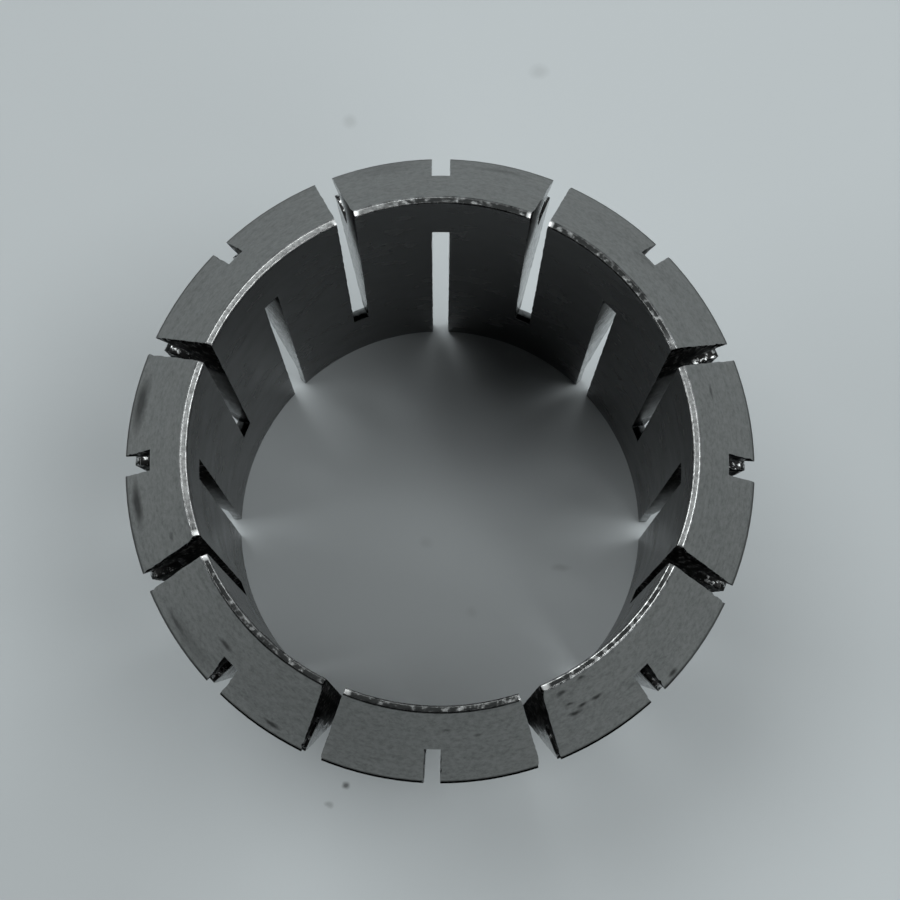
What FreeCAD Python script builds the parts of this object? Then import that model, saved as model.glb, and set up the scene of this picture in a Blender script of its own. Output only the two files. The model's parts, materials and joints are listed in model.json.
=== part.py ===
# Slotted spring collet of the double-taper kind, one piece of hardened and ground spring steel.
# A sleeve is turned from bar and bored through. Saw cuts from both ends, which pass each other, then let
# it close evenly on a round shank when its nut presses the steep front cone and its long body taper
# slides into the holder. Lengths are in millimetres and angles in degrees. The origin is the centre of
# the rear end face, and +Z runs along the axis to the front face, which the shank enters.
import FreeCAD, Part
import math
import os

BORE_DIAMETER = 31.6
OVERALL_LENGTH = 46.0

# Front face: a narrow flat rim round the bore, with a small break on the bore's edge.
FRONT_RIM_WIDTH = 0.30
BORE_EDGE_BREAK = 0.16

# Nut cone: the steep cone that the clamping nut presses on, and the short collar that it ends in.
NUT_CONE_LENGTH = 7.35
NUT_CONE_HALF_ANGLE = 30.0
COLLAR_WIDTH = 0.35
COLLAR_EDGE_BREAK = 0.15

# Snap groove behind the collar, in which the nut's eccentric ring hooks to pull the collet out.
GROOVE_DEPTH = 2.4
GROOVE_WIDTH = 4.1
GROOVE_EDGE_BREAK = 0.35

# Body: the long taper that seats in the holder. Its large end stands back a little from the collar.
BODY_STEP = 0.1
BODY_HALF_ANGLE = 8.0

# Tail: the thin cylinder that the taper runs out into before the rear end. The break on its outer edge
# never takes more than a share of its wall.
TAIL_WALL = 0.6
TAIL_LENGTH_MIN = 1.0
REAR_EDGE_BREAK = 0.2
REAR_BREAK_SHARE = 1 / 3

# Saw cuts: as many from the front as from the rear, each set midway between the other. A round blade
# is plunged just past the bore's wall, so each cut ends in an arc, further along outside than inside.
SLOT_COUNT = 8
SLOT_WIDTH = 1.2
SAW_RADIUS = 31.5
SAW_PLUNGE = 3.2
REAR_SLOT_TO_FRONT_FACE = 8.54
FRONT_SLOT_TO_REAR_FACE = 11.8
SAW_OVERRUN = 1.0
HALF_PITCH = 0.5

AXIS_POINT = FreeCAD.Vector(0, 0, 0)
AXIS = FreeCAD.Vector(0, 0, 1)
ACROSS_SLOT = FreeCAD.Vector(0, 1, 0)
FULL_TURN = 360.0


def rise(run, half_angle):
    """Change of radius over an axial run of a cone."""
    return run * math.tan(math.radians(half_angle))


BORE_RADIUS = BORE_DIAMETER / 2
FACE_RADIUS = BORE_RADIUS + BORE_EDGE_BREAK + FRONT_RIM_WIDTH
COLLAR_RADIUS = FACE_RADIUS + rise(NUT_CONE_LENGTH, NUT_CONE_HALF_ANGLE)
GROOVE_RADIUS = COLLAR_RADIUS - GROOVE_DEPTH
BODY_RADIUS = COLLAR_RADIUS - BODY_STEP


def nut_cone_points():
    """Outline from the bore's front edge over the face and the nut cone to the back of the collar."""
    cone_end = OVERALL_LENGTH - NUT_CONE_LENGTH
    break_rise = rise(COLLAR_EDGE_BREAK, NUT_CONE_HALF_ANGLE)
    collar_back = cone_end - COLLAR_WIDTH
    return [
        (BORE_RADIUS, OVERALL_LENGTH - BORE_EDGE_BREAK),
        (BORE_RADIUS + BORE_EDGE_BREAK, OVERALL_LENGTH),
        (FACE_RADIUS, OVERALL_LENGTH),
        (COLLAR_RADIUS - break_rise, cone_end + COLLAR_EDGE_BREAK),
        (COLLAR_RADIUS, cone_end - COLLAR_EDGE_BREAK),
        (COLLAR_RADIUS, collar_back),
    ]


def groove_points():
    """Outline of the snap groove, from the collar's back face to the body's broken edge."""
    groove_front = OVERALL_LENGTH - NUT_CONE_LENGTH - COLLAR_WIDTH
    groove_rear = groove_front - GROOVE_WIDTH
    return [
        (GROOVE_RADIUS, groove_front),
        (GROOVE_RADIUS, groove_rear),
        (BODY_RADIUS - GROOVE_EDGE_BREAK, groove_rear),
        (BODY_RADIUS, groove_rear - GROOVE_EDGE_BREAK),
    ]


def body_points():
    """Outline of the body taper and the thin tail, down to the broken edges of the rear face."""
    body_top = groove_points()[-1][1]
    full_run = (BODY_RADIUS - BORE_RADIUS - TAIL_WALL) / math.tan(math.radians(BODY_HALF_ANGLE))
    taper_run = min(full_run, body_top - TAIL_LENGTH_MIN)
    tail_radius = BODY_RADIUS - rise(taper_run, BODY_HALF_ANGLE)
    rear_break = min(REAR_EDGE_BREAK, (tail_radius - BORE_RADIUS) * REAR_BREAK_SHARE)
    return [
        (tail_radius, body_top - taper_run),
        (tail_radius, rear_break),
        (tail_radius - rear_break, 0),
        (BORE_RADIUS, 0),
    ]


def turned_blank():
    """The turned and bored sleeve, revolved from its half section."""
    outline = nut_cone_points() + groove_points() + body_points()
    corners = [FreeCAD.Vector(radius, 0, height) for radius, height in outline]
    section = Part.Face(Part.makePolygon(corners + corners[:1]))
    return section.revolve(AXIS_POINT, AXIS, FULL_TURN)


def saw_cut(bore_end, open_end, azimuth):
    """Space that the blade sweeps at one azimuth, from the cut's end in the bore out past the open end."""
    blade_axis_radius = BORE_RADIUS - SAW_PLUNGE + SAW_RADIUS
    reach = math.sqrt(SAW_RADIUS**2 - (SAW_RADIUS - SAW_PLUNGE) ** 2)
    direction = math.copysign(1, open_end - bore_end)
    blade_height = bore_end + direction * reach
    sweep_end = open_end + direction * SAW_OVERRUN
    half_width = SLOT_WIDTH / 2
    blade_centre = FreeCAD.Vector(blade_axis_radius, -half_width, blade_height)
    blade = Part.makeCylinder(SAW_RADIUS, SLOT_WIDTH, blade_centre, ACROSS_SLOT)
    corner = FreeCAD.Vector(BORE_RADIUS - SAW_PLUNGE, -half_width, min(blade_height, sweep_end))
    path = Part.makeBox(SAW_RADIUS, SLOT_WIDTH, abs(sweep_end - blade_height), corner)
    cut = blade.fuse(path)
    cut.rotate(AXIS_POINT, AXIS, azimuth)
    return cut


def saw_cuts():
    """Both sets of cuts: the rear set starts at +X, and the front set lies midway between its cuts."""
    pitch = FULL_TURN / SLOT_COUNT
    rear_set_end = OVERALL_LENGTH - REAR_SLOT_TO_FRONT_FACE
    cuts = []
    for index in range(SLOT_COUNT):
        cuts.append(saw_cut(rear_set_end, 0, index * pitch))
        cuts.append(saw_cut(FRONT_SLOT_TO_REAR_FACE, OVERALL_LENGTH, (index + HALF_PITCH) * pitch))
    return cuts


def collet():
    """The finished collet as one solid."""
    return turned_blank().cut(saw_cuts()).Solids[0]


def main():
    os.makedirs("parts", exist_ok=True)
    collet().exportStep("parts/collet.step")


main()
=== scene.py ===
"""The looks of a slotted spring collet that stands on its small rear end on a pale bench."""
import json
import math

import bmesh
import bpy
from mathutils import Matrix, Vector, geometry, noise


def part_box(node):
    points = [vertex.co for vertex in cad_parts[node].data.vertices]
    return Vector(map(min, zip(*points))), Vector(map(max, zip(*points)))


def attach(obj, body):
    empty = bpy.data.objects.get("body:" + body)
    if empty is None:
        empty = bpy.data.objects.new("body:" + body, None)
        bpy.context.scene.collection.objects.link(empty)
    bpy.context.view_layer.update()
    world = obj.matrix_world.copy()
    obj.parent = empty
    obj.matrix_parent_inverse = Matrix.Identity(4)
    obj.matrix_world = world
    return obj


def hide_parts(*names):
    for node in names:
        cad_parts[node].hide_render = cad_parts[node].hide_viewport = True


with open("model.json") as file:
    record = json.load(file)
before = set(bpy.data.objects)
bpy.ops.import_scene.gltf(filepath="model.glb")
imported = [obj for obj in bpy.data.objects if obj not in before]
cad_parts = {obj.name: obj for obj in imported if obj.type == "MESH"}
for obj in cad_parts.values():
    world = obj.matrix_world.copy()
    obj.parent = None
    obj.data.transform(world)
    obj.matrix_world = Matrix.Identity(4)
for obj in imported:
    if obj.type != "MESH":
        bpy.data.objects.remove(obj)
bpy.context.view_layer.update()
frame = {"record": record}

MM = 0.001
PER_MM = 1.0 / MM


def metres(lengths):
    """Lengths in millimetres as lengths in metres."""
    return [length * MM for length in lengths]


def grey(level):
    return (level, level, level)


# The turned section, in millimetres: radius from the bore's axis, height above the rear face.
BORE = next(mount for mount in frame["record"]["mounts"] if mount["name"] == "bore")
BORE_RADIUS = BORE["dims"]["r_mm"]
LENGTH = (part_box("collet")[1].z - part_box("collet")[0].z) * PER_MM
BORE_EDGE_BREAK = 0.16
FRONT_RIM_WIDTH = 0.30
NUT_CONE_LENGTH = 7.35
NUT_CONE_HALF_ANGLE = math.radians(30.0)
COLLAR_EDGE_BREAK = 0.15
COLLAR_WIDTH = 0.35
GROOVE_DEPTH = 2.4
GROOVE_WIDTH = 4.1
GROOVE_EDGE_BREAK = 0.35
BODY_STEP = 0.1
BODY_HALF_ANGLE = math.radians(8.0)
TAIL_WALL = 0.6
REAR_EDGE_BREAK = 0.2

# How far the front rim's edges are worn round, in millimetres: the inner one, then the outer one. Each arc
# has points at these turns in degrees, or at these shares of its turn.
MOUTH_ROUNDING = 0.11
RIM_ROUNDING = 0.09
MOUTH_TURNS = (0, 22, 45, 68, 90)
RIM_SHARES = (0, 0.25, 0.5, 0.75, 1)

# The saw cuts, in millimetres.
SLOT_COUNT = 8
SLOT_WIDTH = 1.2
SAW_RADIUS = 31.5
SAW_PLUNGE = 3.2
REAR_SLOT_TOP = LENGTH - 8.54
FRONT_SLOT_FOOT = 11.8

# How far each slot is turned from its even place, in degrees, from the rear slot at +X round.
SLOT_DRIFT = (
    -0.2, -0.07, 0.18, 0.13, 0.68, 0.48, 0.91, 0.48,
    0.85, 0.04, 0.3, -0.59, -0.7, -1.1, -0.86, -0.79,
)

# How much further some slots' walls stand from the slot's middle, in millimetres: the wall that comes
# first on the way round, then the last.
SLOT_WIDENING = {
    0: (0.09, 0.10), 8: (0.07, 0.07), 11: (0.10, 0.0), 12: (-0.07, -0.07), 13: (0.17, 0.0),
}

# How the end of the cut is moved in some rear slots, in millimetres: its height in the bore, and its
# radius on the cone. The move fades out towards the front face, and over SAW_END_FADE the other way.
SAW_ENDS = {0: (0.0, -0.12), 2: (-1.5, 0.30), 6: (-0.4, 0.12), 12: (0.0, -0.13), 14: (0.0, -0.10)}
SAW_END_FADE = 3.0

# How far corners of slots are knocked back, in millimetres, by slot and side: at the collar's rim, and at
# the bore's mouth.
RIM_KNOCKS = {(13, -1): 0.22, (11, 1): 0.10, (3, -1): 0.08}
MOUTH_KNOCKS = {(9, -1): 0.15, (11, -1): 0.10, (13, 1): 0.10, (3, 1): 0.10, (5, -1): 0.08, (15, 1): 0.08}
KNOCK_REACH = 0.7

# How sawn faces stray from their true form: waves, each by its number in a millimetre and its depth in
# millimetres, and chips near the collar's rim. The noise is read further on for each wall and each slot.
WALL_WAVES = ((0.9, 0.03), (2.7, 0.02))
SAW_END_WAVE = (2.2, 0.05)
CHIPS_PER_MM = 1.9
CHIP_DEPTH = 0.22
CHIP_REACH = 2.2
CHIP_NOISE = Vector((40, 0, 0))
NEXT_WALL = 7.0
NEXT_SLOT = 3.1

# How finely the surfaces are divided, in millimetres or pieces.
CONE_STEP = 0.25
BODY_STEP_LENGTH = 0.8
BORE_STEP = 0.7
GROOVE_SIDE_STEP = 0.6
GROOVE_FLOOR_STEP = 0.8
SMALL_STEP = 0.3
ACROSS_SLOT = 4
SAW_END_PIECES = 8
WALL_STEP = 0.5
WALL_MARGIN = 0.3
LAND_COLUMNS = (0.0, 0.035, 0.12, 0.25, 0.38, 0.5, 0.62, 0.75, 0.88, 0.965)
HALVINGS = 40

# How an outline is filled with triangles: the mode that keeps those inside it, and how near points count
# as one, in millimetres.
FILL_INSIDE = 1
FILL_TOLERANCE = 1e-6

# How far all sharp edges are worn round, in millimetres.
EDGE_WEAR = 0.05
EDGE_PIECES = 2
EDGE_ANGLE = math.radians(35)

FACE_RADIUS = BORE_RADIUS + BORE_EDGE_BREAK + FRONT_RIM_WIDTH
COLLAR_RADIUS = FACE_RADIUS + NUT_CONE_LENGTH * math.tan(NUT_CONE_HALF_ANGLE)
CONE_FOOT = LENGTH - NUT_CONE_LENGTH
COLLAR_BACK = CONE_FOOT - COLLAR_WIDTH
GROOVE_RADIUS = COLLAR_RADIUS - GROOVE_DEPTH
GROOVE_REAR = COLLAR_BACK - GROOVE_WIDTH
BODY_RADIUS = COLLAR_RADIUS - BODY_STEP
BODY_TOP = GROOVE_REAR - GROOVE_EDGE_BREAK
TAIL_RADIUS = BORE_RADIUS + TAIL_WALL
TAIL_TOP = BODY_TOP - (BODY_RADIUS - TAIL_RADIUS) / math.tan(BODY_HALF_ANGLE)
HALF_PITCH = math.pi / SLOT_COUNT
HALF_SLOT = SLOT_WIDTH / 2
BLADE_AXIS = BORE_RADIUS - SAW_PLUNGE + SAW_RADIUS
BLADE_REACH = math.sqrt(SAW_RADIUS**2 - (SAW_RADIUS - SAW_PLUNGE) ** 2)
REAR, FRONT = "rear", "front"
BLADE_HEIGHT = {REAR: REAR_SLOT_TOP - BLADE_REACH, FRONT: FRONT_SLOT_FOOT + BLADE_REACH}
BLADE_SIDE = {REAR: 1.0, FRONT: -1.0}
SAWN = {REAR: "sawn_rear", FRONT: "sawn_front"}

# What has stuck to the steel, in millimetres. The film of oil on the sawn walls starts at a height of
# FILM_LINE: its level at the axis, and its change with the square of the distance towards +Y. It sets in
# over FILM_FADE and fades out over FILM_REACH, measured from the axis. All pairs say where a fade begins
# and where it ends.
FILM_LINE = (-5.0, 0.145)
FILM_FADE = 22.0
FILM_REACH = (17.2, 18.6)

# The film is caked black in the slots' heads, over CAKE_BOTTOM in height, and on the -Y side, up to a place
# along Y that is further on the higher up the wall.
CAKE_BOTTOM = (34.8, 36.4)
SOUTH = (-5.4, -3.4)
SOUTH_LEAN = -0.2

# It is also caked behind the collar in the slots near the X axis: over these heights, distances from the
# axis and distances from the X axis.
SHOULDER_BOTTOM = (22.0, 27.0)
SHOULDER_REACH = (17.3, 17.9)
SHOULDER_SIDES = (8.0, 14.0)

# The ends of the front slots are black up to OIL_DEPTH above their foot, and partly clean again below it.
OIL_DEPTH = 2.2
FOOT_WEAR = 0.6

# How rough the borders of oil are: how far they stray, and the number of waves in a millimetre.
RAGGED_UP = 3.0
RAGGED_OUT = 0.5
RAGGED_PER_MM = 0.8
MARK_RAGGED_PER_MM = 1.3

# How far a mark's oval on the cone reaches towards the axis and away from it, in millimetres, and how its
# strength falls with the distance from its centre, in half sizes.
MARK_REACH = 6.0
OVAL_FADE = (0.35, 1.25)

# Oil stains on the nut cone, and one broad painted shade: azimuth in degrees, radius, half length round
# the cone and half width down it in millimetres, and strength.
STAINS_AND_SHADE = (
    (79.0, 19.76, 1.9, 0.32, 0.45),
    (169.5, 19.79, 1.8, 0.9, 1.0),
    (188.6, 19.72, 1.5, 0.62, 1.0),
    (212.4, 19.80, 1.1, 0.28, 0.75),
    (216.0, 19.75, 2.6, 0.9, 0.32),
    (238.2, 19.92, 0.65, 0.24, 1.0),
    (222.1, 17.97, 0.6, 0.28, 0.9),
    (197.3, 17.72, 0.3, 0.3, 0.6),
    (298.4, 18.24, 0.48, 0.24, 1.0),
    (300.4, 18.02, 0.38, 0.22, 1.0),
    (303.7, 18.03, 0.40, 0.22, 1.0),
    (298.0, 17.61, 0.30, 0.18, 0.9),
    (297.3, 16.80, 0.32, 0.24, 0.9),
    (302.5, 16.55, 0.34, 0.18, 0.9),
    (318.9, 20.11, 0.30, 0.28, 1.0),
    (310.7, 18.82, 0.4, 0.2, 0.4),
    (14.4, 17.74, 0.5, 0.2, 0.8),
    (272.2, 17.25, 0.3, 0.16, 0.6),
    (278.3, 17.69, 0.3, 0.16, 0.6),
    # Broad painted shade over the cone's lower left, which reflects the shaded bench there.
    (240.0, 18.44, 9.0, 3.0, 0.1),
    (45.1, 19.04, 7.0, 2.0, 0.07),
    (101.1, 19.78, 2.0, 0.9, 0.24),
    (146.0, 19.79, 2.0, 0.9, 0.09),
)

# Painted glints on the rim's corners beside the slots, given in the same way.
PAINTED_CORNER_GLINTS = (
    (65.3, 16.16, 0.25, 0.35, 1.0),
    (70.1, 16.16, 0.25, 0.35, 1.0),
    (110.3, 16.17, 0.25, 0.35, 1.0),
    (115.1, 16.17, 0.25, 0.35, 0.8),
    (204.8, 16.11, 0.35, 0.4, 1.0),
    (199.7, 16.16, 0.3, 0.35, 0.9),
    (249.9, 16.14, 0.25, 0.35, 0.5),
    (244.8, 16.14, 0.2, 0.3, 0.5),
    (289.0, 16.13, 0.25, 0.35, 0.5),
    (294.6, 16.13, 0.35, 0.35, 0.6),
)

# How ragged the painted glints are, and their colour.
GLINT_RAGGED = 0.2
GLINT_COLOUR = (0.75, 0.76, 0.76)

# Parts of the rim, by middle azimuth and half width in degrees: where painted reflection makes its flat
# brighter and its worn edges evener, and where painted shade makes its worn edges dark.
PAINTED_BRIGHT_SECTORS = ((0.0, 24.0), (150.0, 46.0))
PAINTED_DARK_SECTORS = ((255.0, 37.0), (62.0, 26.0))

# Dirt and painted shade on the bench: place across and along it, and half sizes, in millimetres, and
# strength.
DIRT_AND_SHADE = (
    (-7.1, -20.5, 0.3, 0.3, 0.8),
    (-8.4, -22.0, 0.35, 0.3, 0.35),
    (-7.8, 33.0, 0.6, 0.6, 0.15),
    (7.5, 37.4, 0.8, 0.6, 0.15),
    (-1.1, -1.2, 0.55, 0.45, 0.10),
    (9.6, -3.1, 0.75, 0.30, 0.20),
    (2.6, -6.7, 0.5, 0.45, 0.10),
    # Broad painted shade over the bench at the lower left.
    (-31.0, -29.0, 18.0, 16.0, 0.13),
    # Painted shadow on the bench inside the bore, along its -Y wall.
    (-0.1, -14.5, 12.0, 5.5, 0.15),
)


def blade_line(kind, radius):
    """Height at which a cut of this kind ends at a distance from the axis."""
    chord = math.sqrt(SAW_RADIUS**2 - (BLADE_AXIS - radius) ** 2)
    return BLADE_HEIGHT[kind] + BLADE_SIDE[kind] * chord


def is_open(kind, radius, height):
    """True where the saw has removed the metal in a slot of this kind."""
    past_end = height - blade_line(kind, radius)
    return past_end * BLADE_SIDE[kind] < 0


def cone_radius(height):
    return FACE_RADIUS + (LENGTH - height) * math.tan(NUT_CONE_HALF_ANGLE)


def body_radius(height):
    return max(TAIL_RADIUS, BODY_RADIUS - (BODY_TOP - height) * math.tan(BODY_HALF_ANGLE))


def breakout(kind, outside, closed, opened):
    """Where a cut's end breaks through an outside surface, by halving."""
    for _ in range(HALVINGS):
        middle = (closed + opened) / 2
        if is_open(kind, outside(middle), middle):
            opened = middle
        else:
            closed = middle
    return (outside(middle), middle)


BREAKOUT = {
    REAR: breakout(REAR, cone_radius, LENGTH, CONE_FOOT),
    FRONT: breakout(FRONT, body_radius, 0.0, FRONT_SLOT_FOOT),
}


def mouth_points():
    """The rounded inner edge of the bore's mouth, then the rounded edge between the rim and the cone."""
    points = []
    for turn in MOUTH_TURNS:
        t = math.radians(turn)
        across = BORE_RADIUS + MOUTH_ROUNDING * (1 - math.cos(t))
        points.append((across, LENGTH - MOUTH_ROUNDING * (1 - math.sin(t))))
    slope = math.pi / 2 - NUT_CONE_HALF_ANGLE
    radius = RIM_ROUNDING / math.tan(slope / 2)
    for share in RIM_SHARES:
        t = share * slope
        across = FACE_RADIUS - RIM_ROUNDING + radius * math.sin(t)
        points.append((across, LENGTH - radius * (1 - math.cos(t))))
    return points


def section_corners():
    """Corners of the closed half section, each with the surface that runs on from it and its step."""
    break_rise = COLLAR_EDGE_BREAK * math.tan(NUT_CONE_HALF_ANGLE)
    mouth = mouth_points()
    edges = [["worn"] * (len(points) - 1) for points in (MOUTH_TURNS, RIM_SHARES)]
    finishes = [*edges[0], "land", *edges[1], "cone"]
    return [
        *((point, finish, CONE_STEP) for point, finish in zip(mouth, finishes)),
        (BREAKOUT[REAR], "cone", CONE_STEP),
        ((COLLAR_RADIUS - break_rise, CONE_FOOT + COLLAR_EDGE_BREAK), "cone", SMALL_STEP),
        ((COLLAR_RADIUS, CONE_FOOT - COLLAR_EDGE_BREAK), "cone", SMALL_STEP),
        ((COLLAR_RADIUS, COLLAR_BACK), "groove", GROOVE_SIDE_STEP),
        ((GROOVE_RADIUS, COLLAR_BACK), "groove", GROOVE_FLOOR_STEP),
        ((GROOVE_RADIUS, GROOVE_REAR), "groove", GROOVE_SIDE_STEP),
        ((BODY_RADIUS - GROOVE_EDGE_BREAK, GROOVE_REAR), "body", SMALL_STEP),
        ((BODY_RADIUS, BODY_TOP), "body", BODY_STEP_LENGTH),
        (BREAKOUT[FRONT], "body", BODY_STEP_LENGTH),
        ((TAIL_RADIUS, TAIL_TOP), "body", BODY_STEP_LENGTH),
        ((TAIL_RADIUS, REAR_EDGE_BREAK), "body", SMALL_STEP),
        ((TAIL_RADIUS - REAR_EDGE_BREAK, 0.0), "body", SMALL_STEP),
        ((BORE_RADIUS, 0.0), "bore", BORE_STEP),
        ((BORE_RADIUS, FRONT_SLOT_FOOT), "bore", BORE_STEP),
        ((BORE_RADIUS, REAR_SLOT_TOP), "bore", BORE_STEP),
    ]


def section_rows():
    """Points round the closed half section, each with the surface that follows it."""
    corners = section_corners()
    rows = []
    for index, (start, surface, step) in enumerate(corners):
        end = corners[(index + 1) % len(corners)][0]
        pieces = max(1, math.ceil(math.dist(start, end) / step))
        for piece in range(pieces):
            share = piece / pieces
            point = (start[0] + share * (end[0] - start[0]), start[1] + share * (end[1] - start[1]))
            rows.append((point, surface))
    return rows


def slot_kind(slot):
    return REAR if slot % 2 == 0 else FRONT


def nearness(distance, reach):
    """1 at no distance, falling evenly to 0 at the reach."""
    return max(0.0, 1 - distance / reach)


def wander(slot, side, radius, height):
    """How far a sawn wall strays from its plane: waves, chips at the collar's rim and knocked corners."""
    place = Vector((radius, side * NEXT_WALL + slot * NEXT_SLOT, height))
    waves = sum(depth * noise.noise(place * per_mm) for per_mm, depth in WALL_WAVES)
    near_rim = nearness(abs(radius - COLLAR_RADIUS), CHIP_REACH) * (height > GROOVE_REAR)
    chips = max(0.0, noise.noise(place * CHIPS_PER_MM + CHIP_NOISE)) * near_rim
    corner = (slot % (2 * SLOT_COUNT), round(side))
    at_rim = nearness(math.dist((radius, height), (COLLAR_RADIUS, CONE_FOOT)), KNOCK_REACH)
    at_mouth = nearness(math.dist((radius, height), (FACE_RADIUS, LENGTH)), KNOCK_REACH)
    knocks = RIM_KNOCKS.get(corner, 0.0) * at_rim + MOUTH_KNOCKS.get(corner, 0.0) * at_mouth
    return waves + CHIP_DEPTH * chips + knocks


def moved_end(slot, radius, height):
    """Where a point near a rear cut's end comes to lie, for some cuts end a little elsewhere."""
    along_bore, down_cone = SAW_ENDS.get(slot % (2 * SLOT_COUNT), (0.0, 0.0))
    if height < GROOVE_REAR or not (along_bore or down_cone):
        return radius, height
    top, cone_top = REAR_SLOT_TOP, BREAKOUT[REAR][1]
    share = max(0.0, min(1.0, (radius - BORE_RADIUS) / (BREAKOUT[REAR][0] - BORE_RADIUS)))
    end = top + share * (cone_top - top)
    reach = LENGTH - end if height > end else SAW_END_FADE
    weight = nearness(abs(height - end), reach)
    up_cone = -down_cone / math.tan(NUT_CONE_HALF_ANGLE)
    rise = weight * ((1 - share) * along_bore + share * up_cone)
    return radius + weight * share * down_cone, height + rise


def half_width(slot, side):
    """Distance of a slot's wall from its middle plane, on the side of that sign."""
    extra = SLOT_WIDENING.get(slot % (2 * SLOT_COUNT), (0.0, 0.0))
    return HALF_SLOT + extra[side > 0]


def slot_angle(slot, offset, radius):
    drift = math.radians(SLOT_DRIFT[slot % (2 * SLOT_COUNT)])
    return slot * HALF_PITCH + drift + math.asin(offset / radius)


def around(slot, offset, radius, height):
    """Point in a slot's frame: offset across the slot, distance from the axis, height."""
    angle = slot_angle(slot, offset, radius)
    return Vector((radius * math.cos(angle), radius * math.sin(angle), height))


def between(slot, share, radius, height):
    """Point on the metal between a slot and the next one."""
    first = slot_angle(slot, half_width(slot, 1), radius)
    last = slot_angle(slot + 1, -half_width(slot + 1, -1), radius)
    angle = first + share * (last - first)
    return Vector((radius * math.cos(angle), radius * math.sin(angle), height))


class Sleeve:
    """The sawn sleeve as one closed mesh, gathered vertex by vertex."""

    def __init__(self, surfaces):
        self.mesh = bmesh.new()
        self.surfaces = surfaces
        self.rows = section_rows()
        self.grid = {}

    def face(self, corners, surface):
        made = self.mesh.faces.new(corners)
        made.material_index = self.surfaces.index(surface)
        made.smooth = True

    def vertex(self, row, slot, column):
        """Vertex of a row at a slot's column, or at a land column when column is past the slot's."""
        slot %= 2 * SLOT_COUNT
        key = (row, slot, column)
        if key not in self.grid:
            radius, height = self.rows[row][0]
            if column <= ACROSS_SLOT:
                place = self.slot_place(slot, column, radius, height)
            else:
                place = between(slot, LAND_COLUMNS[column - ACROSS_SLOT], radius, height)
            self.grid[key] = self.mesh.verts.new(place)
        return self.grid[key]

    def slot_place(self, slot, column, radius, height):
        across = 2 * column / ACROSS_SLOT - 1
        radius, height = moved_end(slot, radius, height)
        side = math.copysign(1, across)
        offset = across * (half_width(slot, side) + abs(across) * wander(slot, side, radius, height))
        return around(slot, offset, radius, height)

    def columns(self):
        """Pairs of neighbouring columns all round, with the slot's kind where the pair spans a slot."""
        last = ACROSS_SLOT + len(LAND_COLUMNS) - 1
        for slot in range(2 * SLOT_COUNT):
            for column in range(last):
                kind = slot_kind(slot) if column < ACROSS_SLOT else None
                yield (slot, column), (slot, column + 1), kind
            yield (slot, last), (slot + 1, 0), None

    def add_skin(self):
        """All turned surfaces, left open where the saw went."""
        count = len(self.rows)
        for row in range(count):
            following = (row + 1) % count
            (r0, z0), surface = self.rows[row]
            r1, z1 = self.rows[following][0]
            for near, far, kind in self.columns():
                if kind and is_open(kind, (r0 + r1) / 2, (z0 + z1) / 2):
                    continue
                ring = [self.vertex(row, *near), self.vertex(row, *far)]
                ring += [self.vertex(following, *far), self.vertex(following, *near)]
                self.face(ring, surface)

    def find_row(self, point):
        """Row that lies on a given point of the section."""
        return min(range(len(self.rows)), key=lambda row: math.dist(self.rows[row][0], point))

    def end_rows(self, kind):
        """Rows where a cut's end meets the bore and the outside."""
        inside = REAR_SLOT_TOP if kind == REAR else FRONT_SLOT_FOOT
        return self.find_row((BORE_RADIUS, inside)), self.find_row(BREAKOUT[kind])

    def add_saw_end(self, slot):
        """The curved end of one cut. Returns its columns of vertices, from the bore outwards."""
        kind = slot_kind(slot)
        inner, outer = self.end_rows(kind)
        r_inner = self.rows[inner][0][0]
        r_outer = self.rows[outer][0][0]
        waves_per_mm, wave_depth = SAW_END_WAVE
        lines = []
        for column in range(ACROSS_SLOT + 1):
            line = [self.vertex(inner, slot, column)]
            for piece in range(1, SAW_END_PIECES):
                radius = r_inner + (r_outer - r_inner) * piece / SAW_END_PIECES
                place = self.slot_place(slot, column, radius, blade_line(kind, radius))
                place.z += wave_depth * noise.noise(place * waves_per_mm)
                line.append(self.mesh.verts.new(place))
            line.append(self.vertex(outer, slot, column))
            lines.append(line)
        for left, right in zip(lines, lines[1:]):
            for piece in range(SAW_END_PIECES):
                self.face([left[piece], left[piece + 1], right[piece + 1], right[piece]], SAWN[kind])
        return lines[0], lines[-1]

    def wall_rows(self, kind):
        """Rows round the open part of the section, from the cut's outer end to its end in the bore."""
        inner, outer = self.end_rows(kind)
        count = len(self.rows)
        if kind == REAR:
            return list(range(outer, inner + 1))
        return [row % count for row in range(outer, inner - count - 1, -1)]

    def add_wall(self, slot, column, end_line, plan):
        """One flat sawn wall, filled by the plan that all walls of its kind share."""
        outline_size, inside, triangles = plan
        rows = self.wall_rows(slot_kind(slot))
        verts = [self.vertex(row, slot, column) for row in rows] + end_line[1:-1]
        assert len(verts) == outline_size
        for radius, height in inside:
            verts.append(self.mesh.verts.new(self.slot_place(slot, column, radius, height)))
        for triangle in triangles:
            self.face([verts[index] for index in triangle], SAWN[slot_kind(slot)])

    def wall_plan(self, kind):
        """Outline size, inner points and triangles of a sawn wall, in radius and height."""
        outline = [Vector(self.rows[row][0]) for row in self.wall_rows(kind)]
        inner, outer = self.end_rows(kind)
        r_inner = self.rows[inner][0][0]
        r_outer = self.rows[outer][0][0]
        for piece in range(1, SAW_END_PIECES):
            radius = r_inner + (r_outer - r_inner) * piece / SAW_END_PIECES
            outline.append(Vector((radius, blade_line(kind, radius))))
        inside = inner_points(outline)
        points = outline + inside
        border = list(range(len(outline)))
        found = geometry.delaunay_2d_cdt(points, [], [border], FILL_INSIDE, FILL_TOLERANCE)
        origin = [where[0] for where in found[3]]
        triangles = [[origin[index] for index in face] for face in found[2]]
        return len(outline), inside, triangles

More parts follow.
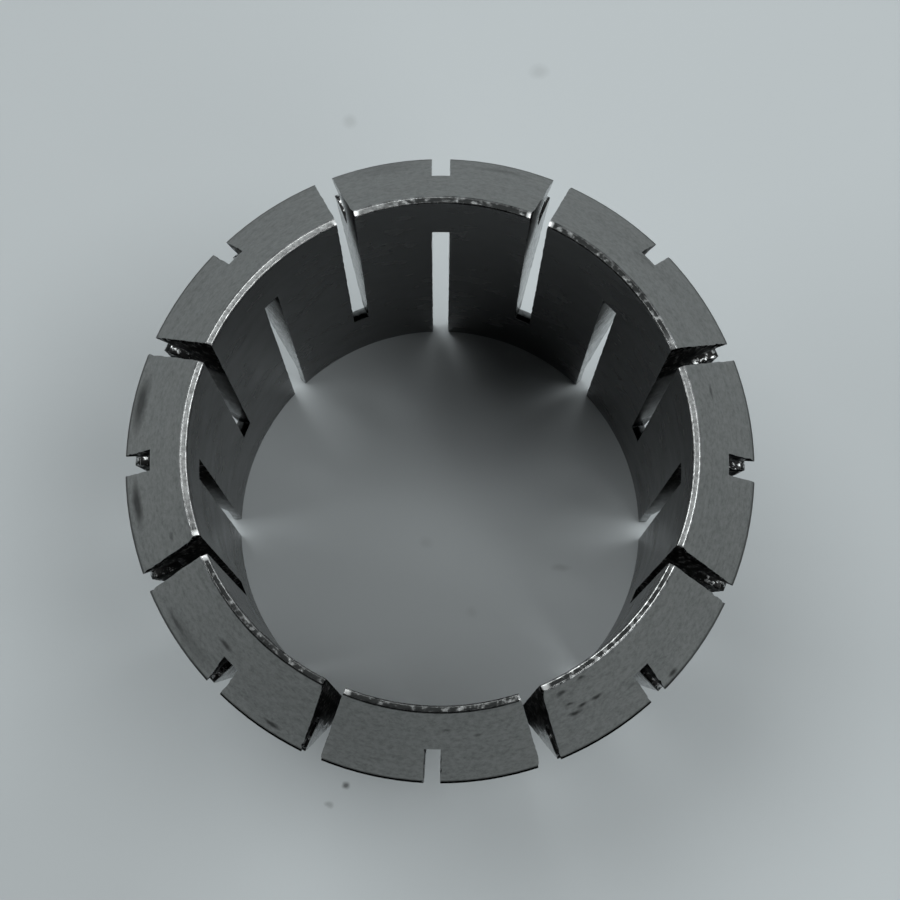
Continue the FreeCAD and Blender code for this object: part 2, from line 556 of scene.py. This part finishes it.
    def add_cuts(self):
        plans = {kind: self.wall_plan(kind) for kind in (REAR, FRONT)}
        for slot in range(2 * SLOT_COUNT):
            first, last = self.add_saw_end(slot)
            plan = plans[slot_kind(slot)]
            self.add_wall(slot, 0, first, plan)
            self.add_wall(slot, ACROSS_SLOT, last, plan)

    def finish(self, name):
        bmesh.ops.recalc_face_normals(self.mesh, faces=self.mesh.faces)
        bmesh.ops.scale(self.mesh, vec=(MM, MM, MM), verts=self.mesh.verts)
        data = bpy.data.meshes.new(name)
        self.mesh.to_mesh(data)
        self.mesh.free()
        piece = bpy.data.objects.new(name, data)
        bpy.context.scene.collection.objects.link(piece)
        return piece


def distance_to_edge(point, start, end):
    along = end - start
    share = max(0.0, min(1.0, (point - start).dot(along) / along.length_squared))
    return (point - start - share * along).length


def lies_inside(point, outline):
    """Even-odd test of a point against a closed outline."""
    inside = False
    for start, end in zip(outline, outline[1:] + outline[:1]):
        if (start.y > point.y) != (end.y > point.y):
            crossing = start.x + (point.y - start.y) * (end.x - start.x) / (end.y - start.y)
            if crossing > point.x:
                inside = not inside
    return inside


def inner_points(outline):
    """Staggered points inside an outline, clear of its edge."""
    low = Vector((min(p.x for p in outline), min(p.y for p in outline)))
    high = Vector((max(p.x for p in outline), max(p.y for p in outline)))
    edges = list(zip(outline, outline[1:] + outline[:1]))
    points = []
    for line in range(int((high.y - low.y) / WALL_STEP) + 1):
        stagger = WALL_STEP / 2 * (line % 2)
        for place in range(int((high.x - low.x) / WALL_STEP) + 1):
            point = low + Vector((place * WALL_STEP + stagger, line * WALL_STEP))
            clear = all(distance_to_edge(point, *edge) > WALL_MARGIN for edge in edges)
            if clear and lies_inside(point, outline):
                points.append(point)
    return points


# Turned rings change along the axis and hardly round it.
RING_STRETCH = (0.015, 0.015, 1.0)

# How far a sector fades out past each of its ends, and as far before it, in degrees.
SECTOR_FADE = 6.0

# Places of a mix node's colours among its sockets.
MIX_FIRST, MIX_SECOND, MIX_RESULT = 6, 7, 2


def socket(node, name):
    return node.inputs[name]


class Shader:
    """A short hand for building one procedural material. Sources and results are node sockets."""

    def __init__(self, name):
        self.material = bpy.data.materials.new(name)
        self.material.use_nodes = True
        self.tree = self.material.node_tree
        self.principled = self.tree.nodes["Principled BSDF"]
        self.coordinates = self.add("ShaderNodeTexCoord").outputs["Object"]

    def add(self, kind, **settings):
        node = self.tree.nodes.new(kind)
        for name, value in settings.items():
            setattr(node, name, value)
        return node

    def link(self, source, target):
        self.tree.links.new(source, target)

    def noise(self, per_mm, detail=3.0, roughness=0.55, stretch=None):
        """Noise with that many features in a millimetre, stretched along the object's axes."""
        node = self.add("ShaderNodeTexNoise")
        socket(node, "Scale").default_value = per_mm * PER_MM
        socket(node, "Detail").default_value = detail
        socket(node, "Roughness").default_value = roughness
        source = self.coordinates
        if stretch:
            mapping = self.add("ShaderNodeMapping")
            socket(mapping, "Scale").default_value = stretch
            self.link(source, socket(mapping, "Vector"))
            source = mapping.outputs["Vector"]
        self.link(source, socket(node, "Vector"))
        return node.outputs["Fac"]

    def rings(self, per_mm):
        """Fine turned rings, that many in a millimetre."""
        return self.noise(per_mm, detail=2.0, stretch=RING_STRETCH)

    def spread(self, source, low, high, start=0.3, end=0.7):
        """Value that goes from low to high while the source goes from start to end."""
        node = self.add("ShaderNodeMapRange")
        for name, value in (("From Min", start), ("From Max", end), ("To Min", low), ("To Max", high)):
            socket(node, name).default_value = value
        self.link(source, socket(node, "Value"))
        return node.outputs["Result"]

    def rise(self, source, start=0.3, end=0.7):
        return self.spread(source, 0.0, 1.0, start, end)

    def fall(self, source, start, end):
        return self.spread(source, 1.0, 0.0, start, end)

    def blend(self, share, first, second):
        """Mix of two colours, each a triple or a socket."""
        node = self.add("ShaderNodeMix", data_type="RGBA")
        self.link(share, node.inputs[0])
        for value, index in ((first, MIX_FIRST), (second, MIX_SECOND)):
            if isinstance(value, tuple):
                node.inputs[index].default_value = (*value, 1.0)
            else:
                self.link(value, node.inputs[index])
        return node.outputs[MIX_RESULT]

    def sum(self, first, second, weight=1.0):
        """The first value and the second, which is weighted."""
        node = self.add("ShaderNodeMath", operation="MULTIPLY_ADD")
        self.link(second, node.inputs[0])
        node.inputs[1].default_value = weight
        self.link(first, node.inputs[2])
        return node.outputs["Value"]

    def along(self, axis):
        """Place along one of the object's axes, in metres."""
        node = self.add("ShaderNodeSeparateXYZ")
        self.link(self.coordinates, socket(node, "Vector"))
        return node.outputs[axis]

    def across_axis(self):
        """The coordinates with nothing along the object's axis."""
        node = self.add("ShaderNodeVectorMath", operation="MULTIPLY")
        self.link(self.coordinates, node.inputs[0])
        node.inputs[1].default_value = (1, 1, 0)
        return node.outputs["Vector"]

    def radius(self):
        """Distance from the axis."""
        node = self.add("ShaderNodeVectorMath", operation="LENGTH")
        self.link(self.across_axis(), node.inputs[0])
        return node.outputs["Value"]

    def sector(self, middle, half_width):
        """Share that is 1 within a sector round the axis and fades to 0 at its ends, in degrees."""
        unit = self.add("ShaderNodeVectorMath", operation="NORMALIZE")
        self.link(self.across_axis(), unit.inputs[0])
        turn = math.radians(middle)
        node = self.add("ShaderNodeVectorMath", operation="DOT_PRODUCT")
        self.link(unit.outputs["Vector"], node.inputs[0])
        node.inputs[1].default_value = (math.cos(turn), math.sin(turn), 0)
        ends = (math.cos(math.radians(half_width + side * SECTOR_FADE)) for side in (1, -1))
        return self.rise(node.outputs["Value"], *ends)

    def sectors(self, sectors):
        first, *others = (self.sector(*one) for one in sectors)
        for other in others:
            first = self.either(first, other)
        return first

    def film_line(self):
        """Height above which oil films the sawn walls; it rises towards +Y and falls towards -Y."""
        level, slope = FILM_LINE
        across = self.along("Y")
        line = self.add("ShaderNodeMath", operation="MULTIPLY_ADD")
        self.link(self.times(across, self.size_of(across)), line.inputs[0])
        line.inputs[1].default_value = slope * PER_MM
        line.inputs[2].default_value = level * MM
        return line.outputs["Value"]

    def calculate(self, operation, *sources):
        node = self.add("ShaderNodeMath", operation=operation)
        for index, source in enumerate(sources):
            self.link(source, node.inputs[index])
        return node.outputs["Value"]

    def size_of(self, source):
        return self.calculate("ABSOLUTE", source)

    def times(self, first, second):
        return self.calculate("MULTIPLY", first, second)

    def either(self, first, second):
        return self.calculate("MAXIMUM", first, second)

    def difference(self, first, second):
        return self.calculate("SUBTRACT", first, second)

    def warped(self, per_mm, reach_mm):
        """Object coordinates, pushed about by noise."""
        source = self.add("ShaderNodeTexNoise")
        socket(source, "Scale").default_value = per_mm * PER_MM
        self.link(self.coordinates, socket(source, "Vector"))
        node = self.add("ShaderNodeVectorMath", operation="MULTIPLY_ADD")
        self.link(source.outputs["Color"], node.inputs[0])
        node.inputs[1].default_value = (reach_mm * MM,) * 3
        self.link(self.coordinates, node.inputs[2])
        shift = self.add("ShaderNodeVectorMath", operation="SUBTRACT")
        self.link(node.outputs["Vector"], shift.inputs[0])
        shift.inputs[1].default_value = (reach_mm * MM / 2,) * 3
        return shift.outputs["Vector"]

    def ovals(self, ovals, source):
        """How strongly a point lies in any oval, each by centre, turn, half sizes and strength."""
        total = None
        for centre, turn, sizes, strength in ovals:
            oval = self.add("ShaderNodeMapping", vector_type="TEXTURE")
            socket(oval, "Location").default_value = metres(centre)
            socket(oval, "Rotation").default_value = (0, 0, turn)
            socket(oval, "Scale").default_value = metres(sizes)
            self.link(source, socket(oval, "Vector"))
            away = self.add("ShaderNodeVectorMath", operation="LENGTH")
            self.link(oval.outputs["Vector"], away.inputs[0])
            mask = self.spread(away.outputs["Value"], strength, 0.0, *OVAL_FADE)
            total = self.either(total, mask) if total else mask
        return total

    def marks(self, marks, ragged_mm=0.5):
        """The same for marks on the nut cone and rim, given as STAINS_AND_SHADE are: stains, painted shade
        and painted glints.
        """
        ovals = []
        for azimuth, radius, half_length, half_width, strength in marks:
            turn = math.radians(azimuth)
            height = LENGTH - (radius - FACE_RADIUS) / math.tan(NUT_CONE_HALF_ANGLE)
            centre = (radius * math.cos(turn), radius * math.sin(turn), height)
            ovals.append((centre, turn, (MARK_REACH, half_length, half_width), strength))
        return self.ovals(ovals, self.warped(MARK_RAGGED_PER_MM, ragged_mm))

    def dim_gloss(self, tint):
        """Dulls the reflections at a flat angle, where oil lies on the steel, and as painted shade at the
        cone's foot.
        """
        self.link(tint, socket(self.principled, "Specular Tint"))

    def bump(self, height, strength, depth_mm):
        node = self.add("ShaderNodeBump")
        socket(node, "Strength").default_value = strength
        socket(node, "Distance").default_value = depth_mm * MM
        self.link(height, socket(node, "Height"))
        self.link(node.outputs["Normal"], socket(self.principled, "Normal"))

    def finish(self, colour, roughness):
        """The material as bare metal of that colour and roughness."""
        socket(self.principled, "Metallic").default_value = 1.0
        self.link(colour, socket(self.principled, "Base Color"))
        self.link(roughness, socket(self.principled, "Roughness"))
        return self.material


# Painted shade darkens the cone's foot below a height, most of all on the -Y side. Both fade over a
# range, in millimetres.
CONE_FOOT_SHADE = (CONE_FOOT + 0.15, CONE_FOOT + 0.35)
DARKEST_FOOT_SHADE = (-17.0, -12.0)
FOOT_SHADE_ELSEWHERE = 0.55


def cone_steel():
    """Satin grey of the nut cone: finely ringed, clouded, spotted with old oil, with broad painted shade on
    its lower left and painted shade at its foot.
    """
    shader = Shader("cone_steel")
    clouds = shader.noise(0.35, detail=4.0)
    grain = shader.noise(4.0, detail=4.0, roughness=0.65)
    rings = shader.rings(3.0)
    speckle = shader.rise(shader.noise(2.3, detail=5.0, roughness=0.78), 0.38, 0.62)
    cloudy = shader.rise(clouds)
    dull = shader.blend(cloudy, (0.128, 0.1295, 0.1255), (0.157, 0.159, 0.1535))
    bright = shader.blend(cloudy, (0.222, 0.2245, 0.2175), (0.269, 0.271, 0.263))
    base = shader.blend(speckle, dull, bright)
    mottle = shader.spread(shader.sum(grain, rings, 0.5), 0.0, 0.6, 0.55, 0.95)
    colour = shader.blend(mottle, base, (0.276, 0.276, 0.268))
    # Oil stains, and one broad painted shade, darken the cone.
    colour = shader.blend(shader.marks(STAINS_AND_SHADE), colour, (0.035, 0.034, 0.032))
    # Painted shade: the foot goes near black and its reflections are dulled, most of all on the -Y side.
    foot = shader.fall(shader.along("Z"), *metres(CONE_FOOT_SHADE))
    round_it = shader.spread(shader.along("Y"), 1.0, FOOT_SHADE_ELSEWHERE, *metres(DARKEST_FOOT_SHADE))
    foot = shader.times(foot, round_it)
    colour = shader.blend(foot, colour, grey(0.012))
    shader.dim_gloss(shader.blend(foot, grey(1.0), grey(0.05)))
    roughness = shader.spread(clouds, 0.36, 0.46)
    shader.bump(shader.sum(grain, rings, 0.5), 0.35, 0.02)
    return shader.finish(colour, roughness)


def land_steel():
    """The flat of the rim round the bore's mouth: pitted, with painted shade for the dark it reflects from
    above, painted glints on its pits, and painted reflection making it bright in parts.
    """
    shader = Shader("land_steel")
    pits_and_glints = shader.noise(2.6, detail=3.0)
    painted_bright = shader.sectors(PAINTED_BRIGHT_SECTORS)
    # Painted shade: the flat is near black for the dark it reflects from above, with painted glints on its
    # pits.
    dark = shader.blend(shader.rise(pits_and_glints, 0.52, 0.70), (0.02, 0.021, 0.021), (0.22, 0.225, 0.225))
    scratches = shader.rise(shader.noise(5.0, detail=3.0, roughness=0.6), 0.35, 0.65)
    bright = shader.blend(scratches, (0.09, 0.092, 0.092), (0.21, 0.215, 0.215))
    # Painted reflection brightens the flat in some sectors.
    colour = shader.blend(painted_bright, dark, bright)
    # Painted glints at the slots' corners.
    colour = shader.blend(shader.marks(PAINTED_CORNER_GLINTS, GLINT_RAGGED), colour, GLINT_COLOUR)
    roughness = shader.spread(pits_and_glints, 0.45, 0.35)
    shader.bump(pits_and_glints, 0.4, 0.05)
    return shader.finish(colour, roughness)


def worn_steel():
    """Edges that handling has worn bright, evener where painted reflection brightens them, darkened by
    painted shade where they reflect little, and with painted glints at the slots' corners.
    """
    shader = Shader("worn_steel")
    nicks = shader.noise(2.6, detail=5.0, roughness=0.7)
    wear = shader.rise(nicks, 0.35, 0.62)
    bright = shader.blend(wear, (0.05, 0.052, 0.052), (0.52, 0.53, 0.53))
    even = shader.blend(wear, (0.14, 0.142, 0.142), (0.40, 0.405, 0.405))
    dark = shader.blend(wear, (0.02, 0.021, 0.021), (0.19, 0.195, 0.195))
    # Painted reflection makes the edges evener in some sectors; painted shade darkens them in others.
    colour = shader.blend(shader.sectors(PAINTED_BRIGHT_SECTORS), bright, even)
    colour = shader.blend(shader.sectors(PAINTED_DARK_SECTORS), colour, dark)
    # Painted glints at the slots' corners.
    colour = shader.blend(shader.marks(PAINTED_CORNER_GLINTS, GLINT_RAGGED), colour, GLINT_COLOUR)
    roughness = shader.spread(nicks, 0.30, 0.22)
    shader.bump(nicks, 0.3, 0.03)
    return shader.finish(colour, roughness)


def bore_steel():
    """The dark, smooth wall of the bore."""
    shader = Shader("bore_steel")
    clouds = shader.noise(0.3, detail=4.0)
    rings = shader.rings(6.0)
    colour = shader.blend(shader.rise(clouds), grey(0.10), grey(0.15))
    roughness = shader.spread(clouds, 0.20, 0.30)
    shader.bump(rings, 0.20, 0.012)
    socket(shader.principled, "Specular Tint").default_value = (*grey(0.68), 1.0)
    return shader.finish(colour, roughness)


def shoulder_share(shader, height):
    """Where oil is caked on the walls behind the collar, in the slots near the X axis."""
    above = shader.rise(height, *metres(SHOULDER_BOTTOM))
    outside = shader.rise(shader.radius(), *metres(SHOULDER_REACH))
    near_x_axis = shader.fall(shader.size_of(shader.along("Y")), *metres(SHOULDER_SIDES))
    return shader.times(above, shader.times(outside, near_x_axis))


def oil_shares(shader, streaks):
    """Where the sawn walls are filmed with oil, and where it is caked black on them."""
    height = shader.sum(shader.along("Z"), shader.noise(RAGGED_PER_MM, detail=4.0), RAGGED_UP * MM)
    from_axis = shader.sum(shader.radius(), shader.spread(streaks, *metres((-RAGGED_OUT, RAGGED_OUT))))
    above = shader.rise(shader.difference(height, shader.film_line()), 0.0, FILM_FADE * MM)
    near_bore = shader.fall(from_axis, *metres(FILM_REACH))
    head = shader.rise(height, *metres(CAKE_BOTTOM))
    south = shader.fall(shader.sum(shader.along("Y"), height, SOUTH_LEAN), *metres(SOUTH))
    filmed = shader.times(above, near_bore)
    caked = shader.times(above, shader.either(head, shader.times(near_bore, south)))
    return filmed, shader.either(caked, shoulder_share(shader, height))


def clean_share(shader):
    """How clean the end of a front slot is: not at all at its foot, fully above it, partly below it."""
    below = (FRONT_SLOT_FOOT - OIL_DEPTH, FRONT_SLOT_FOOT - OIL_DEPTH / 3)
    worn = shader.spread(shader.along("Z"), FOOT_WEAR, 0.0, *metres(below))
    risen = shader.rise(shader.along("Z"), *metres((FRONT_SLOT_FOOT, FRONT_SLOT_FOOT + OIL_DEPTH)))
    return shader.either(risen, worn)


def sawn_steel(kind):
    """Walls of the slots: saw marks on clean steel, filmed with oil near the bore, caked in the head."""
    shader = Shader(SAWN[kind])
    streaks = shader.noise(2.6, detail=4.0, stretch=(1.0, 1.0, 0.25))
    crumbs = shader.noise(3.2, detail=4.0, roughness=0.7, stretch=(1.0, 1.0, 0.35))
    filmed, caked = oil_shares(shader, streaks)
    cuts = shader.rise(streaks, 0.4, 0.65)
    clean = shader.blend(cuts, (0.16, 0.165, 0.165), (0.52, 0.525, 0.525))
    film = shader.blend(cuts, grey(0.06), grey(0.20))
    glints = shader.rise(crumbs, 0.53, 0.66)
    residue = shader.blend(glints, grey(0.012), grey(0.45))
    colour = shader.blend(caked, shader.blend(filmed, clean, film), residue)
    oily = shader.blend(filmed, grey(1.0), grey(0.38))
    crust = shader.blend(glints, grey(0.05), grey(0.9))
    sheen = shader.blend(caked, oily, crust)
    if kind == FRONT:
        foot = clean_share(shader)
        colour = shader.blend(foot, grey(0.01), colour)
        sheen = shader.blend(foot, grey(0.2), sheen)
    shader.dim_gloss(sheen)
    roughness = shader.sum(shader.spread(filmed, 0.20, 0.32, 0.0, 1.0), caked, 0.22)
    shader.bump(shader.sum(crumbs, streaks), 0.22, 0.06)
    return shader.finish(colour, roughness)


def body_steel():
    """The ground body taper and tail, with a crust of old oil on its edge at the groove."""
    shader = Shader("body_steel")
    clouds = shader.noise(0.18, detail=4.0)
    rings = shader.rings(7.0)
    colour = shader.blend(shader.rise(clouds), (0.30, 0.31, 0.315), (0.40, 0.41, 0.415))
    crumbs = shader.noise(3.0, detail=3.0, roughness=0.6)
    crust = shader.blend(shader.rise(crumbs, 0.50, 0.60), grey(0.015), (0.50, 0.51, 0.51))
    edge = shader.rise(shader.along("Z"), *metres((BODY_TOP - 0.2, BODY_TOP + 0.05)))
    colour = shader.blend(edge, colour, crust)
    roughness = shader.spread(clouds, 0.28, 0.38)
    shader.bump(rings, 0.35, 0.012)
    return shader.finish(colour, roughness)


def groove_steel():
    """The turned snap groove, black with old oil in which a few bright crumbs lie."""
    shader = Shader("groove_steel")
    crumbs = shader.noise(3.0, detail=3.0, roughness=0.6)
    glints = shader.rise(crumbs, 0.54, 0.64)
    rings = shader.rings(2.5)
    colour = shader.blend(glints, grey(0.015), (0.45, 0.46, 0.46))
    roughness = shader.spread(crumbs, 0.50, 0.25)
    shader.bump(shader.sum(rings, crumbs), 0.5, 0.05)
    return shader.finish(colour, roughness)


FINISHES = {
    "cone": cone_steel,
    "land": land_steel,
    "worn": worn_steel,
    "bore": bore_steel,
    SAWN[REAR]: lambda: sawn_steel(REAR),
    SAWN[FRONT]: lambda: sawn_steel(FRONT),
    "body": body_steel,
    "groove": groove_steel,
}


def make_collet():
    """The whole collet as one closed piece in place of its CAD solid."""
    sleeve = Sleeve(list(FINISHES))
    sleeve.add_skin()
    sleeve.add_cuts()
    piece = sleeve.finish("collet_body")
    for make in FINISHES.values():
        piece.data.materials.append(make())
    rounding = piece.modifiers.new("worn_edges", "BEVEL")
    rounding.width = EDGE_WEAR * MM
    rounding.segments = EDGE_PIECES
    rounding.limit_method = "ANGLE"
    rounding.angle_limit = EDGE_ANGLE
    rounding.use_clamp_overlap = True
    rounding.material = list(FINISHES).index("worn")
    shading = piece.modifiers.new("even_shading", "WEIGHTED_NORMAL")
    shading.keep_sharp = True
    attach(piece, "root")
    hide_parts("collet")


# The bench, its light and the camera.
FLOOR_SIZE = 3.0
FRAME_PIXELS = 900
SENSOR = 36.0
NEAREST_SEEN = 0.01

# The camera as the photograph gives it: its place over the rear end, in millimetres, its turns about its
# own right, up and back axes, in radians, and its focal length in pixels.
CAMERA_PLACE = (0.269, -21.780, 210.458)
CAMERA_TURNS = (-0.13223, 0.00203, -0.01397)
FOCAL_PIXELS = 2659.0

# Lamps, each by its azimuth in degrees, its size in metres and its power in watts. Those of a kind hang at
# the same distance from the axis and the same height, in metres.
SKYLIGHT_PLACE = (0.36, 1.0)
WINDOW_PLACE = (1.0, 0.6)
SKYLIGHTS = ((0, 0.4, 2.93), (135, 0.4, 2.82), (90, 0.4, 0.33))
WINDOWS = (
    (0, 1.2, 1.63),
    (45, 1.6, 3.15),
    (90, 1.6, 2.28),
    (135, 1.2, 1.30),
    (180, 0.6, 2.71),
    (315, 0.5, 1.74),
)
LAMP_COLOUR = (0.97, 1.0, 1.0)
ROOM_COLOUR = (0.95, 0.985, 1.0, 1.0)
ROOM_STRENGTH = 0.02


def make_floor():
    bpy.ops.mesh.primitive_plane_add(size=FLOOR_SIZE)
    floor = bpy.context.object
    floor.name = "bench"
    shader = Shader("pale_bench")
    clouds = shader.noise(0.012, detail=3.0)
    colour = shader.blend(shader.rise(clouds), (0.50, 0.535, 0.551), (0.53, 0.565, 0.581))
    spots = [((x, y, 0), 0, (wide, deep, 1), strength) for x, y, wide, deep, strength in DIRT_AND_SHADE]
    # Dirt marks and painted shade darken the bench.
    colour = shader.blend(shader.ovals(spots, shader.warped(1.0, 0.4)), colour, (0.05, 0.052, 0.053))
    shader.link(colour, socket(shader.principled, "Base Color"))
    socket(shader.principled, "Roughness").default_value = 0.6
    floor.data.materials.append(shader.material)


def make_lamp(name, azimuth, place, size, power):
    """A round soft lamp that faces the object's foot."""
    away, height = place
    data = bpy.data.lights.new(name, "AREA")
    data.shape = "DISK"
    data.size = size
    data.energy = power
    data.color = LAMP_COLOUR
    turn = math.radians(azimuth)
    lamp = bpy.data.objects.new(name, data)
    lamp.location = (away * math.cos(turn), away * math.sin(turn), height)
    lamp.rotation_euler = lamp.location.to_track_quat("Z", "Y").to_euler()
    bpy.context.scene.collection.objects.link(lamp)


def make_lighting():
    """A dim room with skylights overhead and a row of windows from the right round to the left."""
    world = bpy.data.worlds.new("soft_room")
    world.use_nodes = True
    background = world.node_tree.nodes["Background"]
    background.inputs["Color"].default_value = ROOM_COLOUR
    background.inputs["Strength"].default_value = ROOM_STRENGTH
    bpy.context.scene.world = world
    for azimuth, size, power in SKYLIGHTS:
        make_lamp(f"skylight_{azimuth}", azimuth, SKYLIGHT_PLACE, size, power)
    for azimuth, size, power in WINDOWS:
        make_lamp(f"window_{azimuth}", azimuth, WINDOW_PLACE, size, power)


def make_camera():
    """The photograph's view: from above, leaning a little back from the vertical."""
    about_right, about_up, about_back = CAMERA_TURNS
    turned = Matrix.Rotation(about_back, 3, "Z") @ Matrix.Rotation(about_up, 3, "Y")
    turned = turned @ Matrix.Rotation(about_right, 3, "X")
    data = bpy.data.cameras.new("photo_camera")
    data.sensor_width = SENSOR
    data.lens = FOCAL_PIXELS / FRAME_PIXELS * SENSOR
    data.clip_start = NEAREST_SEEN
    camera = bpy.data.objects.new("photo_camera", data)
    camera.matrix_world = Matrix.Translation(Vector(CAMERA_PLACE) * MM) @ turned.transposed().to_4x4()
    bpy.context.scene.collection.objects.link(camera)
    bpy.context.scene.camera = camera


make_camera()
make_lighting()
make_floor()
make_collet()
bpy.context.scene.view_settings.view_transform = "Standard"
